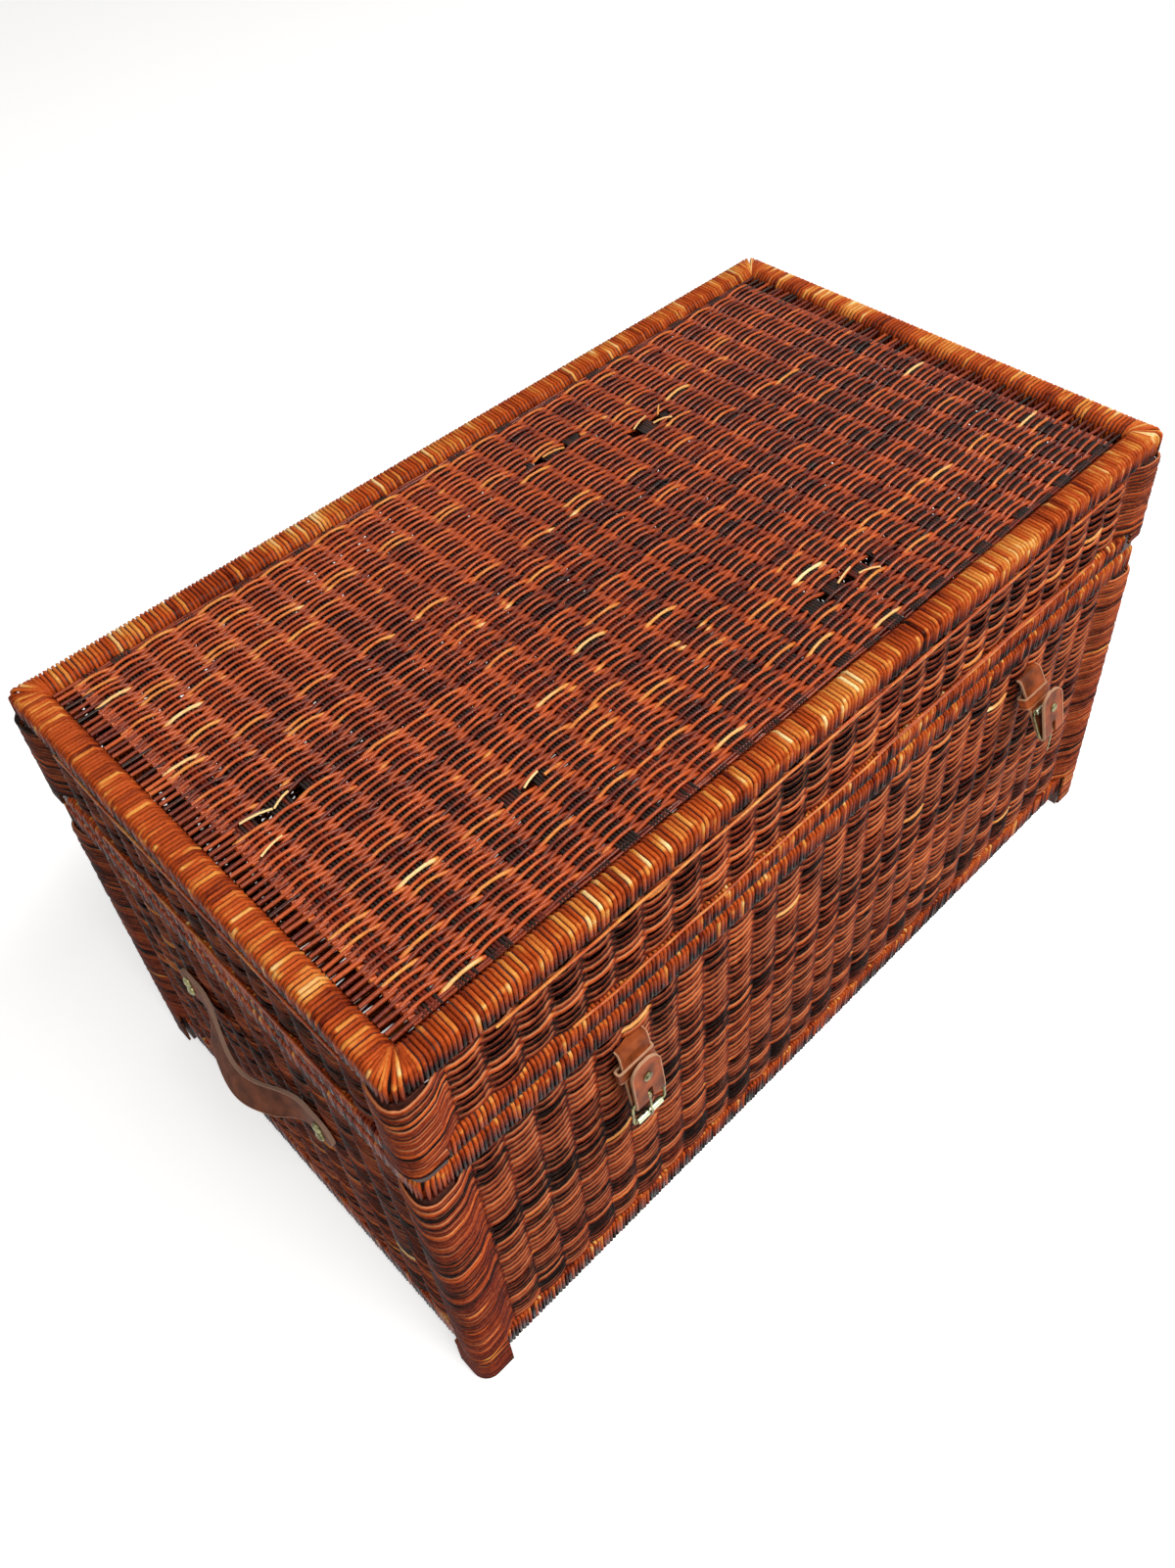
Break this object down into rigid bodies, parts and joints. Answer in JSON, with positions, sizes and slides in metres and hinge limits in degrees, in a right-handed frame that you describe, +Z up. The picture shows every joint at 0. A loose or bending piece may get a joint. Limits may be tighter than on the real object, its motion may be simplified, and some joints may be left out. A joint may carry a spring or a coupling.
{
  "type": "storage chest",
  "caption": "Woven wicker storage chest with a hinged deep lid, wrapped rails, stud-fixed leather end handles and two leather buckle straps hanging at the front.",
  "frame": {"origin": "centre of the outer box on the floor, midway between the foremost buckle and the rearmost hinge", "axes": "+X along the chest to its right end, +Y from the buckles to the hinges, +Z up"},
  "size_m": [0.9746, 0.5626, 0.52],
  "materials": {
    "wicker": "gloss",
    "cane_wrap": "gloss",
    "wood": "satin",
    "handle_leather": "satin",
    "strap_leather": "satin",
    "brass": "satin"
  },
  "bodies": {
    "chest": {"body_rim_front": "cane_wrap", "body_rim_right": "cane_wrap", "body_rim_back": "cane_wrap", "body_rim_left": "cane_wrap", "base_rail_front": "cane_wrap", "base_rail_right": "cane_wrap", "base_rail_back": "cane_wrap", "base_rail_left": "cane_wrap", "body_wall_front": "wicker", "body_wall_right": "wicker", "body_wall_back": "wicker", "body_wall_left": "wicker", "body_corner_posts": "wood", "body_woven_corners": "wicker", "base_panel": "wicker", "base_battens": "wood", "hinge_body_leaves": "brass", "hinge_pins": "brass", "handle_ends": "handle_leather", "handle_studs": "brass", "buckle_strap_roots": "strap_leather", "buckle_root_rivets": "brass"},
    "lid": {"lid_top_rail_front": "cane_wrap", "lid_top_rail_right": "cane_wrap", "lid_top_rail_back": "cane_wrap", "lid_top_rail_left": "cane_wrap", "lid_lower_rail_front": "cane_wrap", "lid_lower_rail_right": "cane_wrap", "lid_lower_rail_back": "cane_wrap", "lid_lower_rail_left": "cane_wrap", "lid_wall_front": "wicker", "lid_wall_right": "wicker", "lid_wall_back": "wicker", "lid_wall_left": "wicker", "lid_corner_posts": "wood", "lid_woven_corners": "wicker", "lid_panel": "wicker", "hinge_lid_leaves": "brass"},
    "left_grip": {"left_handle_grip": "handle_leather"},
    "right_grip": {"right_handle_grip": "handle_leather"},
    "left_strap": {"left_buckle_strap": "strap_leather", "left_buckle_keeper": "strap_leather", "left_buckle_rivet": "brass"},
    "left_frame": {"left_buckle_frame": "brass"},
    "left_prong": {"left_buckle_prong": "brass"},
    "left_roller": {"left_buckle_roller": "brass"},
    "right_strap": {"right_buckle_strap": "strap_leather", "right_buckle_keeper": "strap_leather", "right_buckle_rivet": "brass"},
    "right_frame": {"right_buckle_frame": "brass"},
    "right_prong": {"right_buckle_prong": "brass"},
    "right_roller": {"right_buckle_roller": "brass"}
  },
  "joints": [
    {"name": "lid_hinge", "type": "hinge", "parent": "chest", "child": "lid", "pos_m": [0, 0.2705, 0.385], "axis": [-1, 0, 0], "range_deg": [0, 100]},
    {"name": "left_handle_swing", "type": "hinge", "parent": "chest", "child": "left_grip", "pos_m": [-0.4559, 0.011, 0.272], "axis": [0, 1, 0], "range_deg": [0, 75]},
    {"name": "right_handle_swing", "type": "hinge", "parent": "chest", "child": "right_grip", "pos_m": [0.4559, 0.011, 0.272], "axis": [0, -1, 0], "range_deg": [0, 75]},
    {"name": "left_strap_swing", "type": "hinge", "parent": "chest", "child": "left_strap", "pos_m": [-0.256, -0.2452, 0.328], "axis": [-1, 0, 0], "range_deg": [0, 45]},
    {"name": "left_buckle_swing", "type": "hinge", "parent": "left_strap", "child": "left_frame", "pos_m": [-0.256, -0.25917, 0.26751], "axis": [-1, 0, 0], "range_deg": [-10, 95]},
    {"name": "left_prong_swing", "type": "hinge", "parent": "left_frame", "child": "left_prong", "pos_m": [-0.256, -0.25917, 0.26751], "axis": [-1, 0, 0], "range_deg": [0, 45]},
    {"name": "left_roller_spin", "type": "hinge", "parent": "left_frame", "child": "left_roller", "pos_m": [-0.256, -0.25917, 0.23951], "axis": [1, 0, 0], "continuous": true},
    {"name": "right_strap_swing", "type": "hinge", "parent": "chest", "child": "right_strap", "pos_m": [0.285, -0.2452, 0.328], "axis": [-1, 0, 0], "range_deg": [-5, 30]},
    {"name": "right_buckle_swing", "type": "hinge", "parent": "right_strap", "child": "right_frame", "pos_m": [0.285, -0.27718, 0.27478], "axis": [-1, 0, 0], "range_deg": [-8, 0]},
    {"name": "right_prong_swing", "type": "hinge", "parent": "right_strap", "child": "right_prong", "pos_m": [0.285, -0.27718, 0.27478], "axis": [-1, 0, 0], "range_deg": [0, 90]},
    {"name": "right_roller_spin", "type": "hinge", "parent": "right_frame", "child": "right_roller", "pos_m": [0.285, -0.26534, 0.30016], "axis": [1, 0, 0], "continuous": true}
  ]
}
